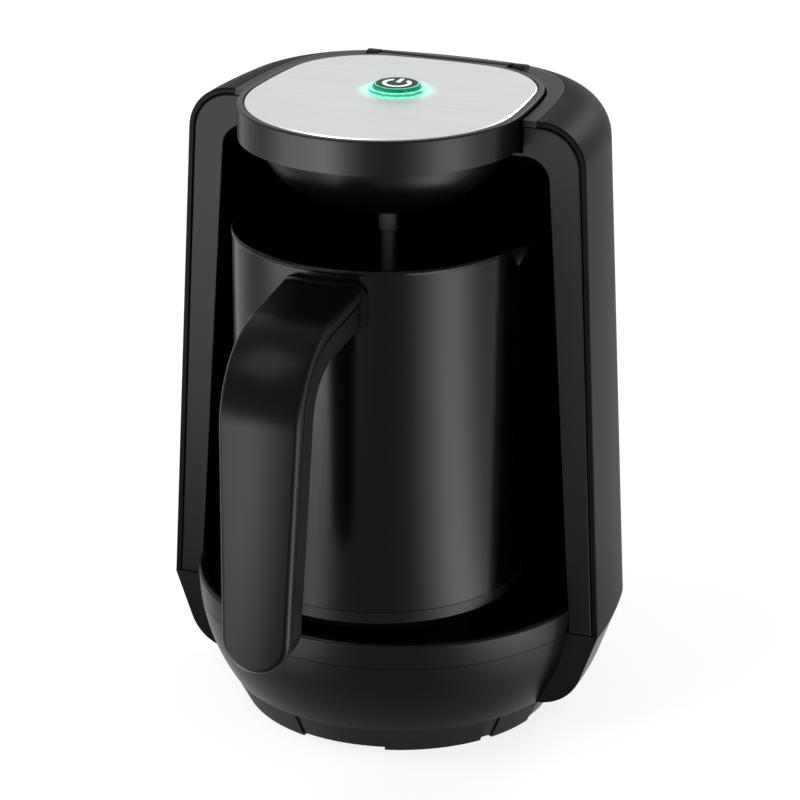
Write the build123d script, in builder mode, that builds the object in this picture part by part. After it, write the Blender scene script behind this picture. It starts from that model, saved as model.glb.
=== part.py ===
"""Electric turkish coffee maker with a lift-out pot.

A U-shaped stand on a round base carries a hinged head with a power button and a foam probe.
The pot has its own heater and stands on a round connector in the base.
Millimetres. +Z is up, the front faces -Y, the origin is on the table under the middle of the base.
"""

import os
from math import cos, hypot, pi, radians, sin, sqrt, tan

from build123d import *

# ---------------------------------------------------------------- driving dimensions
# Clearances shared by all fits
seam_gap = 0.2                # between two fixed parts along a visible seam
moving_gap = 0.3              # between parts that move past each other
pin_clearance = 0.05          # radial play of the head on its hinge pin

# Stand: two uprights joined round the rear
seam_z = 36.5                 # seam between the base and the uprights
deck_z = 209.5                # top of the stand
front_y = -16.5               # plane of the uprights' front faces
stand_margin = 8.0            # from the bowl's top edge out to the stand's side at the seam
stand_depth = 86.0            # at the seam, front plane to rear
stand_curve = (204.0, 59.5, 191.0)      # radii of the sides, the corners and the rear
stand_taper = 2.91            # degrees
shoulder_radius = 15.0
shell_wall = 2.0
frame_wall = 2.0
frame_face = 2.5              # thickness of the uprights' front faces
front_edge_radius = 0.5       # rounding of the long edges on the front plane

# Bay between the uprights, where the pot stands
bay_top_drop = 12.1           # from the stand's top down to the ceiling
upright_width = 10.1          # of the uprights' front faces at the seam
bay_depth = 60.0              # at the seam, front plane to rear
bay_curve = (104.5, 51.3, 110.0)
bay_taper = 3.77
bay_corner_radius = 8.0
bay_ceiling = 1.6

# Deck round the head
deck_side_width = 4.5         # of the deck beside the head
deck_rear_width = 4.1         # of the deck behind the hinge
deck_curve = (222.4, 38.1, 220.9)
deck_thickness = 3.0
well_wall = 1.8

# Base
base_bottom_z = 9.5
bowl_channel = 5.8            # free room between the pot's pedestal and the ring, in front
bowl_undercut = 10.5          # how much the bowl narrows towards the foot
bowl_top_z = 45.1             # top edge of the ring in front of the pot
base_wall = 2.5
belly_taper = 20.0            # degrees that the uprights turn in below the seam
belly_radius = 16.0           # rounding under the uprights
ring_thickness = 3.2
ring_edge_radius = 1.2
plate_thickness = 2.5
skirt_wall = 2.5
foot_inset = 5.2              # from the bowl's lower edge to the foot's edge on the table
foot_flare = 4.9              # extra radius where the foot meets the bowl
foot_width = 6.5
foot_proud = 0.6              # how far the rubber stands out from the skirt
foot_drop = 1.0               # how far the rubber stands below the skirt
foot_band = 2.4               # width of the ring that joins the feet
foot_turns = (0.0, 180.0)     # degrees: the same feet in front and behind
foot_arc = 36.0               # degrees covered by one long foot
foot_start = 16.0             # degrees from straight ahead to the first foot
short_foot_arc = 19.0
foot_break = 5.0              # degrees between a long foot and the short one beside it
vent_length = 30.0
vent_width = 2.4
vent_pitch = 6.0
vent_count = 5

# Pot tray and base connector
pot_y = -19.0                 # pot axis
tray_top_z = 41.0
tray_thickness = 3.0
pedestal_radius = 40.0
pedestal_wall = 2.5
spigot_radius = 13.0
spigot_tip_radius = 4.4
spigot_height = 4.0
spigot_body_radius = 16.0
spigot_body_depth = 14.0
contact_radii = (6.4, 9.6)
contact_width = 1.0
post_radius = 3.6
post_inset_x = 14.3           # of the posts from the foot's edge, sideways
post_inset_y = 26.3           # and from front to rear
screw_radius = 1.5
screw_head_radius = 2.8
screw_head_height = 1.6

# Pot
pot_radius = 47.5
pot_bottom_z = 50.5
pot_seam_z = 55.6
pot_rim_z = 170.5
pot_floor_z = 70.0            # underside of the floor, where the heater sits
pot_wall = 1.2
pot_floor = 1.5
pot_floor_radius = 6.0
rim_bead_radius = 0.9
spout_half_width = 12.6
spout_depth = 6.6             # from the lip's base line to its tip
spout_reach = 4.6
spout_height = 14.0
spout_tip_radius = 2.4
cover_floor = 2.5
cover_lip = 1.4
cover_overlap = 4.5
socket_radius = 17.3
heater_thickness = 3.1
module_height = 11.5
element_arc = 320.0           # degrees
element_radius = 30.0
element_tube_radius = 3.2
cutout_radius = 8.0
pot_screw_spread = 38.0
pot_screw_count = 3

# Handle, seen from the side: out from the pot, then down
handle_top_z = 166.0          # upper skin where it leaves the pot
handle_reach = 50.0           # from the pot's wall to the upper bend, measured along Y
handle_bottom_z = 57.7
handle_top_slope = 6.5        # degrees that the top falls away
handle_lean = 4.3             # degrees that the grip leans outwards
handle_bend_radius = 30.0
handle_thickness = 12.4
handle_cover_thickness = 5.0
handle_half_width_top = 13.2
handle_half_width_low = 11.0
handle_inset = 0.5            # the inner half is narrower than the cover, each side
handle_edge_radius = 1.6
collar_thickness = 2.6
collar_side = 1.0             # the collar shows this much beside and above the handle
collar_drop = 2.8             # and this much below it
collar_corner = 4.4
handle_screw_offset = 6.0
handle_screw_y = 14.0         # from the pot's wall

# Head
head_radius = 43.6            # round front of the metal plate
head_y = -17.5                # centre of that round front
head_depth = 53.0             # from that centre to the rear of the plate
head_curve = (221.5, 28.7, 203.9)
head_proud = 1.7              # from the stand's top up to the plate's face
head_floor_gap = 1.0          # from the well's floor up to the band
band_margin = 2.4             # the band stands out from the plate
band_wall = 2.0
head_gap = 0.8                # between the band and the deck
lid_plate_thickness = 1.4
lid_plate_gap = 0.5
lid_plate_edge = 0.35
lid_rim_drop = 0.2
head_roof = 2.4
dome_y = -16.0
dome_radius = 39.5
dome_depth = 24.0
dome_wall = 2.0
dome_flange = 1.5
dome_clearance = 1.2
head_screw_x = 30.0
head_screw_front_y = -38.0
head_screw_rear_y = 14.0
head_boss_radius = 3.2

# Hinge
hinge_drop = 3.2              # from the stand's top down to the pin's axis
hinge_offset = 3.6            # behind the rear of the band
barrel_radius = 4.6
barrel_half_length = 22.6
knuckle_gap = 1.2
knuckle_length = 4.2
hinge_pin_radius = 1.5

# Power button and its light
button_y = -4.5
button_radius = 7.7
button_height = 2.4           # above the plate
button_travel = 1.0
button_edge_radius = 0.8
button_skirt = 1.5
button_roof = 2.0
light_ring_wall = 1.2
light_ring_height = 1.3       # above the plate
light_ring_flange = 1.3
board_thickness = 1.6
board_drop = 5.0              # from the head's roof down to the board
board_half_length = 22.0
board_half_width = 12.0
board_screw_x = 17.0
switch_size = 6.0
switch_height = 1.4
plunger_radius = 1.5
plunger_height = 0.6
led_angle = 45.0              # degrees from the board's long side
led_size = 1.6
led_height = 1.0

# Foam probe
probe_y = -11.0
probe_length = 26.2           # from the dome down to the tip
probe_radius = 2.6
probe_sleeve_radius = 3.45
probe_sleeve_length = 9.5     # from the dome down to the sleeve's end
probe_flange_radius = 6.0
probe_flange = 2.0
probe_boss_radius = 7.5
probe_boss_height = 6.0
probe_nut_width = 11.0
probe_nut_height = 3.5
probe_tail = 3.0

# Electronics behind the bay and the cord inlet
control_board_y = 47.0
control_board_half_width = 22.0
control_board_low_z = 70.0
control_board_high_z = 150.0
standoff_radius = 3.0
standoff_inset = 4.0
relay_size = (15.0, 10.0, 19.0)
relay_z = 92.0
capacitor_radius = 4.0
capacitor_length = 10.0
capacitor_z = 130.0
inlet_z = 27.0
inlet_radius = 4.2
inlet_flange_radius = 6.2
inlet_flange = 1.6
inlet_bore_radius = 3.1
inlet_length = 9.0
inlet_boss_radius = 7.5
inlet_boss_back = 1.5         # from the rearmost line of the base to the boss's face

# ---------------------------------------------------------------- derived sizes
bay_top_z = deck_z - bay_top_drop
bowl_radius_top = pedestal_radius - pot_y + bowl_channel + ring_thickness
stand_half_width = bowl_radius_top + stand_margin
bay_half_width = stand_half_width - upright_width
bowl_radius_low = bowl_radius_top - bowl_undercut
foot_radius = bowl_radius_low - foot_inset
post_spread_x = foot_radius - post_inset_x
post_spread_y = foot_radius - post_inset_y
head_rear_y = head_y + head_depth + band_margin
hinge_y = head_rear_y + hinge_offset
well_margin = band_margin + head_gap
deck_half_width = head_radius + well_margin + deck_side_width
deck_depth = hinge_y + barrel_radius + head_gap + deck_rear_width - front_y
well_floor_z = bay_top_z + bay_ceiling
head_top_z = deck_z + head_proud
head_bottom_z = well_floor_z + head_floor_gap
hinge_z = deck_z - hinge_drop
tray_bottom_z = tray_top_z - tray_thickness
pedestal_top_z = pot_bottom_z - moving_gap
base_top_z = seam_z - seam_gap
plate_top_z = base_bottom_z - seam_gap
plate_bottom_z = plate_top_z - plate_thickness
roof_bottom_z = head_top_z - lid_plate_thickness - head_roof
roof_top_z = roof_bottom_z + head_roof
board_z = roof_bottom_z - board_drop
light_ring_radius = button_radius + moving_gap + light_ring_wall
flange_z = head_bottom_z + seam_gap
probe_seat_z = flange_z - dome_depth
probe_sleeve_z = probe_seat_z - probe_sleeve_length
probe_tip_z = probe_seat_z - probe_length
plunger_top_z = board_z + board_thickness + switch_height + plunger_height
button_low_z = roof_bottom_z - seam_gap / 2
pot_front_y = pot_y - pot_radius
collar_radius = pot_radius + collar_thickness
ring_inner_radius = bowl_radius_top - ring_thickness
spigot_tip_z = pedestal_top_z + spigot_height
board_middle_z = (control_board_low_z + control_board_high_z) / 2
standoff_spacing = (
    2 * (control_board_half_width - standoff_inset),
    control_board_high_z - control_board_low_z - 2 * standoff_inset,
)
far = 4 * stand_half_width      # longer than any cut through the part
bowl_height = bowl_top_z - base_bottom_z
bowl_curve = (bowl_height ** 2 + (bowl_radius_top - bowl_radius_low) ** 2) / (
    2 * (bowl_radius_top - bowl_radius_low)
)

pot_plane = Plane(origin=(0, pot_y, 0), x_dir=(1, 0, 0), z_dir=(0, -1, 0))
pot_axis = Axis((0, pot_y, 0), (0, 0, 1))
dome_plane = Plane(origin=(0, dome_y, 0), x_dir=(1, 0, 0), z_dir=(0, -1, 0))
dome_axis = Axis((0, dome_y, 0), (0, 0, 1))
button_plane = Plane(origin=(0, button_y, 0), x_dir=(1, 0, 0), z_dir=(0, -1, 0))
button_axis = Axis((0, button_y, 0), (0, 0, 1))
hinge_plane = Plane(origin=(0, hinge_y, hinge_z), x_dir=(0, 1, 0), z_dir=(1, 0, 0))


# ---------------------------------------------------------------- shared outlines
def corner_points(half_width, depth, curve):
    """Ends of the corner arc in one quadrant of an oval centred on the origin.

    The curve gives the radii of the side, the corner and the end; the arcs meet smoothly.
    """
    side, corner, end = curve
    run, rise = side - half_width, depth - end
    gap = hypot(run, rise)
    along = ((side - corner) ** 2 - (end - corner) ** 2 + gap ** 2) / (2 * gap)
    off = sqrt((side - corner) ** 2 - along ** 2)
    x = (along * run - off * rise) / gap - run
    y = (along * rise + off * run) / gap
    side_share, end_share = side / (side - corner), end / (end - corner)
    return ((x + run) * side_share - run, y * side_share), (x * end_share, rise + (y - rise) * end_share)


def grown(curve, margin):
    """Radii of a curve after moving it outwards by a margin."""
    return tuple(radius + margin for radius in curve)


def full_oval(half_width, depth, curve):
    """Closed outline round the front plane's middle, alike in front of that plane and behind it."""
    (x1, y1), (x2, y2) = corner_points(half_width, depth, curve)
    side, corner, end = curve
    points = [(x1, -y1), (x1, y1), (x2, y2), (-x2, y2), (-x1, y1), (-x1, -y1), (-x2, -y2), (x2, -y2)]
    points = [(x, front_y + y) for x, y in points]
    with BuildSketch() as face:
        with BuildLine():
            for index, radius in enumerate(2 * (side, corner, end, corner)):
                RadiusArc(points[index], points[(index + 1) % len(points)], -radius)
        make_face()
    return face.sketch


def rear_oval(half_width, depth, curve):
    """The part of the oval behind the front plane."""
    with BuildSketch() as face:
        add(full_oval(half_width, depth, curve))
        with Locations((0, front_y)):
            Rectangle(far, far, align=(Align.CENTER, Align.MAX), mode=Mode.SUBTRACT)
    return face.sketch


def head_outline(margin=0.0):
    """Outline of the head, round in front and squarer behind, grown by a margin."""
    radius = head_radius + margin
    side, corner, end = grown(head_curve, margin)
    (x1, y1), (x2, y2) = corner_points(radius, head_depth + margin, (side, corner, end))
    points = [(radius, 0), (x1, y1), (x2, y2), (-x2, y2), (-x1, y1), (-radius, 0)]
    points = [(x, head_y + y) for x, y in points]
    with BuildSketch() as face:
        with BuildLine():
            for index, arc_radius in enumerate((side, corner, end, corner, side)):
                RadiusArc(points[index], points[index + 1], -arc_radius)
            ThreePointArc(points[-1], (0, head_y - radius), points[0])
        make_face()
    return face.sketch


def tapered_form(half_width, depth, curve, taper, high_z, rounding):
    """Tapering solid behind the front plane, from the base's seam up, rounded on top."""
    with BuildPart() as form:
        with BuildSketch(Plane.XY.offset(seam_z)):
            add(full_oval(half_width, depth, curve))
        extrude(amount=high_z - seam_z, taper=taper)
        fillet(form.faces().sort_by(Axis.Z)[-1].edges(), rounding)
        split(bisect_by=Plane.XZ.offset(-front_y), keep=Keep.BOTTOM)
    return form.part


def stand_form(inset=0.0):
    """Outer form of the stand above its seam, or the same form set in by a wall."""
    return tapered_form(
        stand_half_width - inset, stand_depth - inset, grown(stand_curve, -inset),
        stand_taper, deck_z - inset, shoulder_radius - inset,
    )


def bay_form(grow=0.0, roof=0.0):
    """Hollow of the bay, or the same form grown by the wall round it."""
    return tapered_form(
        bay_half_width + grow, bay_depth + grow, grown(bay_curve, grow),
        bay_taper, bay_top_z + roof, bay_corner_radius + roof,
    )


def well_outline(margin):
    """Outline of the opening for the head, with room for the hinge barrel behind it."""
    barrel_room = barrel_radius + head_gap + margin - well_margin
    with BuildSketch() as face:
        add(head_outline(margin))
        with Locations((0, hinge_y)):
            Rectangle(2 * (barrel_half_length + knuckle_gap + margin - well_margin), 2 * barrel_room)
    return face.sketch


def bowl_radius(height):
    """Radius of the bowl's outer face at a height; the face is one arc, upright at its top."""
    drop = bowl_top_z - height
    return bowl_radius_top - bowl_curve + sqrt(bowl_curve ** 2 - drop ** 2)


def turned(points, plane, axis, mode=Mode.ADD, arc=360):
    """Turn a closed profile of (radius, height) points round an axis, inside a part block."""
    with BuildSketch(plane) as profile:
        with BuildLine():
            Polyline(*points, close=True)
        make_face()
    revolve(profile.sketch, axis=axis, revolution_arc=arc, mode=mode)


def across(places, radius, low_z, high_z, mode=Mode.ADD):
    """Upright cylinders at the given places, inside a part block."""
    with BuildSketch(Plane.XY.offset(low_z)) as section:
        with Locations(*places):
            Circle(radius)
    extrude(section.sketch, amount=high_z - low_z, mode=mode)


os.makedirs("parts", exist_ok=True)


def long_front_edges(builder):
    """Edges of a part on the front plane, without the short ones across a wall."""
    edges = builder.edges().filter_by_position(Axis.Y, front_y, front_y)
    return [edge for edge in edges if edge.length > 2 * shell_wall]


def save(builder, name):
    """Label a finished part and write it to its own file."""
    builder.part.label = name
    export_step(builder.part, f"parts/{name}.step")


# ---------------------------------------------------------------- stand: shell, frame and deck
with BuildPart() as outer_shell:
    add(stand_form())
    add(stand_form(shell_wall), mode=Mode.SUBTRACT)
    with BuildSketch(Plane.XY.offset(bay_top_z)):
        add(rear_oval(deck_half_width + seam_gap, deck_depth + seam_gap, grown(deck_curve, seam_gap)))
    extrude(amount=shoulder_radius, mode=Mode.SUBTRACT)
    fillet(long_front_edges(outer_shell), front_edge_radius)
save(outer_shell, "outer_shell")

with BuildPart() as upright_faces:
    add(stand_form(shell_wall + seam_gap))
    split(bisect_by=Plane.XZ.offset(-front_y - frame_face), keep=Keep.TOP)
    with BuildSketch(Plane.XY.offset(well_floor_z)):
        with Locations((0, front_y)):
            Rectangle(2 * (head_radius + well_margin), 4 * frame_face)
    extrude(amount=far, mode=Mode.SUBTRACT)

with BuildPart() as front_frame:
    add(bay_form(frame_wall, bay_ceiling))
    # the ceiling runs on behind the bay, as the floor of the well that the head drops into
    with BuildSketch(Plane.XY.offset(bay_top_z)):
        add(well_outline(well_margin + well_wall))
        with Locations((0, front_y)):
            Rectangle(far, far, align=(Align.CENTER, Align.MAX), mode=Mode.SUBTRACT)
    extrude(amount=bay_ceiling)
    add(upright_faces.part)
    # standoffs for the control board, moulded on the rear of the bay wall
    with BuildSketch(Plane.XZ.offset(-control_board_y)):
        with Locations((0, board_middle_z)):
            with GridLocations(*standoff_spacing, 2, 2):
                Circle(standoff_radius)
    extrude(amount=control_board_y)
    add(bay_form(), mode=Mode.SUBTRACT)
    with Locations((0, dome_y, bay_top_z)):
        Cylinder(dome_radius + dome_clearance, 2 * bay_corner_radius, mode=Mode.SUBTRACT)
    with BuildSketch(Plane.XZ.offset(-control_board_y)):
        with Locations((0, board_middle_z)):
            with GridLocations(*standoff_spacing, 2, 2):
                Circle(screw_radius)
    extrude(amount=standoff_inset, mode=Mode.SUBTRACT)
    fillet(long_front_edges(front_frame), front_edge_radius)
save(front_frame, "front_frame")

deck_front_y = front_y + frame_face + seam_gap
knuckle_x = barrel_half_length + knuckle_gap
with BuildPart() as top_deck:
    with BuildSketch(Plane.XY.offset(deck_z - deck_thickness)):
        add(rear_oval(deck_half_width, deck_depth, deck_curve))
    extrude(amount=deck_thickness)
    add(stand_form(), mode=Mode.INTERSECT)
    with BuildSketch(Plane.XY.offset(well_floor_z + seam_gap)):
        add(well_outline(well_margin + well_wall))
        add(rear_oval(deck_half_width, deck_depth, deck_curve), mode=Mode.INTERSECT)
    extrude(amount=deck_z - deck_thickness - well_floor_z)
    with BuildSketch(Plane.XY.offset(well_floor_z)):
        add(well_outline(well_margin))
    extrude(amount=far, mode=Mode.SUBTRACT)
    for side in (-1, 1):
        with BuildSketch(Plane.YZ.offset(side * knuckle_x)):
            with Locations((hinge_y, hinge_z)):
                Circle(barrel_radius)
        extrude(amount=side * knuckle_length)
    with BuildSketch(hinge_plane):
        Circle(hinge_pin_radius)
    extrude(amount=knuckle_x + knuckle_length, both=True, mode=Mode.SUBTRACT)
    # the plate's edge reaches over the uprights' faces to the front plane
    with BuildSketch(Plane.XY.offset(deck_z - shell_wall)):
        with Locations((0, deck_front_y)):
            Rectangle(far, far, align=(Align.CENTER, Align.MAX))
    extrude(amount=-far, mode=Mode.SUBTRACT)
save(top_deck, "top_deck")

with BuildPart() as hinge_pin:
    with BuildSketch(hinge_plane):
        Circle(hinge_pin_radius)
    extrude(amount=knuckle_x + knuckle_length, both=True)
save(hinge_pin, "hinge_pin")

# ---------------------------------------------------------------- stand: base
def bowl_profile(inset=0.0, low_z=base_bottom_z, high_z=base_top_z, bore=0.0):
    """Half section of the bowl between two heights, set in by a wall and bored out."""
    middle = (low_z + high_z) / 2
    with BuildSketch() as section:
        with BuildLine():
            ThreePointArc(
                (bowl_radius(low_z) - inset, low_z),
                (bowl_radius(middle) - inset, middle),
                (bowl_radius(high_z) - inset, high_z),
            )
            Polyline(
                (bowl_radius(high_z) - inset, high_z), (bore, high_z),
                (bore, low_z), (bowl_radius(low_z) - inset, low_z),
            )
        make_face()
    return section.sketch


def belly_form(inset=0.0):
    """Rounded underside of the uprights and the rear, behind the front plane."""
    height = base_top_z - base_bottom_z
    spread = height * tan(radians(belly_taper)) + inset
    with BuildPart() as belly:
        with BuildSketch(Plane.XY.offset(base_bottom_z + inset)):
            add(full_oval(stand_half_width - spread, stand_depth - spread, grown(stand_curve, -spread)))
        extrude(amount=height - inset, taper=-belly_taper)
        fillet(belly.faces().sort_by(Axis.Z)[0].edges(), belly_radius - inset)
        split(bisect_by=Plane.XZ.offset(-front_y - inset), keep=Keep.BOTTOM)
    return belly.part


base_rear_y = front_y + stand_depth
inlet_face_y = base_rear_y - inlet_boss_back
inlet_plane = Plane(origin=(0, inlet_face_y, inlet_z), x_dir=(-1, 0, 0), z_dir=(0, 1, 0))
with BuildPart() as base_housing:
    with BuildSketch(Plane.XZ):
        add(bowl_profile())
    revolve(axis=Axis.Z)
    add(belly_form())
    with BuildSketch(Plane.XZ):
        add(bowl_profile(base_wall))
    revolve(axis=Axis.Z, mode=Mode.SUBTRACT)
    add(belly_form(base_wall), mode=Mode.SUBTRACT)
    with BuildSketch(inlet_plane):
        Circle(inlet_boss_radius)
    extrude(amount=-inlet_length)
    with BuildSketch(inlet_plane):
        Circle(inlet_flange_radius + seam_gap)
    extrude(amount=inlet_length, mode=Mode.SUBTRACT)
    with BuildSketch(inlet_plane):
        Circle(inlet_radius)
    extrude(amount=-2 * inlet_length, mode=Mode.SUBTRACT)
save(base_housing, "base_housing")

with BuildPart() as cord_inlet:
    with BuildSketch(inlet_plane):
        Circle(inlet_radius)
    extrude(amount=-inlet_length)
    with BuildSketch(inlet_plane):
        Circle(inlet_flange_radius)
    extrude(amount=inlet_flange)
    fillet(cord_inlet.edges().group_by(Axis.Y)[-1], inlet_flange / 3)
    with BuildSketch(inlet_plane):
        Circle(inlet_bore_radius)
    extrude(amount=far, both=True, mode=Mode.SUBTRACT)
save(cord_inlet, "cord_inlet")

with BuildPart() as base_ring:
    with BuildSketch(Plane.XZ) as ring_section:
        add(bowl_profile(0, seam_z, bowl_top_z, ring_inner_radius))
        fillet(ring_section.vertices().group_by(Axis.Y)[-1], ring_edge_radius)
    revolve(axis=Axis.Z)
    split(bisect_by=Plane.XZ.offset(-front_y + seam_gap), keep=Keep.TOP)
save(base_ring, "base_ring")

bay_inset = (tray_top_z - seam_z) * tan(radians(bay_taper)) + seam_gap
post_places = GridLocations(2 * post_spread_x, 2 * post_spread_y, 2, 2)
with BuildPart() as pot_tray:
    with BuildSketch(Plane.XY.offset(tray_bottom_z)):
        Circle(ring_inner_radius - seam_gap)
        with Locations((0, front_y)):
            Rectangle(far, far, align=(Align.CENTER, Align.MIN), mode=Mode.SUBTRACT)
        add(rear_oval(bay_half_width - bay_inset, bay_depth - bay_inset, grown(bay_curve, -bay_inset)))
    extrude(amount=tray_thickness)
    with BuildSketch(Plane.XY.offset(tray_bottom_z)):
        with Locations((0, pot_y)):
            Circle(pedestal_radius)
    extrude(amount=pedestal_top_z - tray_bottom_z)
    fillet(pot_tray.edges().group_by(Axis.Z)[-1], ring_edge_radius)
    with BuildSketch(Plane.XY.offset(tray_bottom_z)):
        with Locations((0, pot_y)):
            Circle(pedestal_radius - pedestal_wall)
    extrude(amount=pedestal_top_z - pedestal_wall - tray_bottom_z, mode=Mode.SUBTRACT)
    with BuildSketch(Plane.XY.offset(tray_bottom_z)):
        with Locations((0, pot_y)):
            Circle(spigot_body_radius + seam_gap)
    extrude(amount=far, mode=Mode.SUBTRACT)
    with BuildSketch(Plane.XY.offset(plate_top_z)):
        with post_places:
            Circle(post_radius)
    extrude(amount=tray_bottom_z - plate_top_z)
    with BuildSketch(Plane.XY.offset(plate_top_z)):
        with post_places:
            Circle(screw_radius)
    extrude(amount=tray_bottom_z - plate_top_z - tray_thickness, mode=Mode.SUBTRACT)
save(pot_tray, "pot_tray")


def foot_outline_radius(height):
    """Radius of the feet's outer face at a height."""
    return foot_radius + foot_flare * height / plate_top_z


def skirt_radius(height):
    """Radius of the bottom plate's skirt at a height."""
    return foot_outline_radius(height) - foot_proud


with BuildPart() as bottom_plate:
    turned([
        (0, plate_bottom_z), (skirt_radius(plate_bottom_z) - skirt_wall, plate_bottom_z),
        (skirt_radius(foot_drop) - skirt_wall, foot_drop), (skirt_radius(foot_drop), foot_drop),
        (skirt_radius(plate_top_z), plate_top_z), (0, plate_top_z),
    ], Plane.XZ, Axis.Z)
    with BuildSketch(Plane.XY.offset(plate_bottom_z)):
        with GridLocations(0, vent_pitch, 1, vent_count):
            SlotOverall(vent_length, vent_width)
        with post_places:
            Circle(screw_radius)
    extrude(amount=plate_thickness, mode=Mode.SUBTRACT)
save(bottom_plate, "bottom_plate")

with BuildPart() as base_screws:
    with BuildSketch(Plane.XY.offset(plate_bottom_z)):
        with post_places:
            Circle(screw_head_radius)
    extrude(amount=-screw_head_height)
    with BuildSketch(Plane.XY.offset(plate_bottom_z)):
        with post_places:
            Circle(screw_radius)
    extrude(amount=(tray_bottom_z - plate_bottom_z) / 2)
save(base_screws, "base_screws")

with BuildPart() as rubber_feet:
    # a thin ring on the table joins the feet into one moulding
    across([(0, 0)], foot_radius - foot_width + foot_band, 0, foot_drop)
    across([(0, 0)], foot_radius - foot_width, 0, foot_drop, Mode.SUBTRACT)
    foot_points = [
        (foot_radius - foot_width, 0), (foot_radius, 0),
        (foot_outline_radius(plate_top_z), plate_top_z), (skirt_radius(plate_top_z), plate_top_z),
        (skirt_radius(foot_drop), foot_drop), (foot_radius - foot_width, foot_drop),
    ]
    short_start = foot_start + foot_arc + foot_break
    for rear in foot_turns:
        for start, arc in (
            (foot_start, foot_arc), (short_start, short_foot_arc),
            (-foot_start - foot_arc, foot_arc), (-short_start - short_foot_arc, short_foot_arc),
        ):
            turn = radians(rear + start)
            plane = Plane(
                origin=(0, 0, 0), x_dir=(sin(turn), -cos(turn), 0), z_dir=(-cos(turn), -sin(turn), 0)
            )
            turned(foot_points, plane, Axis.Z, arc=arc)
save(rubber_feet, "rubber_feet")

# ---------------------------------------------------------------- stand: connector and electronics
def spigot_z(radius):
    """Height of the spigot's sloping face at a radius."""
    return spigot_tip_z - spigot_height * (radius - spigot_tip_radius) / (spigot_radius - spigot_tip_radius)


with BuildPart() as base_connector:
    flange_top = pedestal_top_z - pedestal_wall
    turned([
        (0, pedestal_top_z - spigot_body_depth), (spigot_body_radius, pedestal_top_z - spigot_body_depth),
        (spigot_body_radius, flange_top - pedestal_wall),
        (spigot_body_radius + pedestal_wall, flange_top - pedestal_wall),
        (spigot_body_radius + pedestal_wall, flange_top), (spigot_body_radius, flange_top),
        (spigot_body_radius, pedestal_top_z), (spigot_radius, pedestal_top_z),
        (spigot_tip_radius, spigot_tip_z), (0, spigot_tip_z),
    ], pot_plane, pot_axis)
    for radius in contact_radii:
        turned([
            (radius, flange_top), (radius + contact_width, flange_top),
            (radius + contact_width, far), (radius, far),
        ], pot_plane, pot_axis, Mode.SUBTRACT)
save(base_connector, "base_connector")

with BuildPart() as contact_rings:
    for radius in contact_radii:
        turned([
            (radius, flange_top), (radius + contact_width, flange_top),
            (radius + contact_width, spigot_z(radius + contact_width)), (radius, spigot_z(radius)),
        ], pot_plane, pot_axis)
save(contact_rings, "contact_rings")

board_rear_y = control_board_y + board_thickness
with BuildPart() as control_board:
    with BuildSketch(Plane.XZ.offset(-board_rear_y)):
        with Locations((0, board_middle_z)):
            Rectangle(2 * control_board_half_width, control_board_high_z - control_board_low_z)
            with GridLocations(*standoff_spacing, 2, 2):
                Circle(screw_radius, mode=Mode.SUBTRACT)
    extrude(amount=board_thickness)
save(control_board, "control_board")

with BuildPart() as control_board_screws:
    with BuildSketch(Plane.XZ.offset(-board_rear_y)):
        with Locations((0, board_middle_z)):
            with GridLocations(*standoff_spacing, 2, 2):
                Circle(screw_radius)
    extrude(amount=board_thickness + standoff_inset)
    with BuildSketch(Plane.XZ.offset(-board_rear_y)):
        with Locations((0, board_middle_z)):
            with GridLocations(*standoff_spacing, 2, 2):
                Circle(screw_head_radius)
    extrude(amount=-screw_head_height)
save(control_board_screws, "control_board_screws")

with BuildPart() as relay:
    with Locations((0, board_rear_y, relay_z)):
        Box(*relay_size, align=(Align.CENTER, Align.MIN, Align.CENTER))
    fillet(relay.edges().filter_by(Axis.Y), contact_width)
save(relay, "relay")

with BuildPart() as capacitor:
    with BuildSketch(Plane.XZ.offset(-board_rear_y)):
        with Locations((0, capacitor_z)):
            Circle(capacitor_radius)
    extrude(amount=-capacitor_length)
    fillet(capacitor.edges().group_by(Axis.Y)[-1], contact_width)
save(capacitor, "capacitor")

# ---------------------------------------------------------------- head
def dome_form(radius, depth):
    """Lower half of a flattened ball hanging from the flange."""
    with BuildPart() as ball:
        with BuildSketch(dome_plane) as section:
            with Locations((0, flange_z)):
                Ellipse(radius, depth)
            with Locations((0, flange_z)):
                Rectangle(far, far, align=(Align.MIN, Align.MAX), mode=Mode.INTERSECT)
        revolve(section.sketch, axis=dome_axis)
    return ball.part


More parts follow.
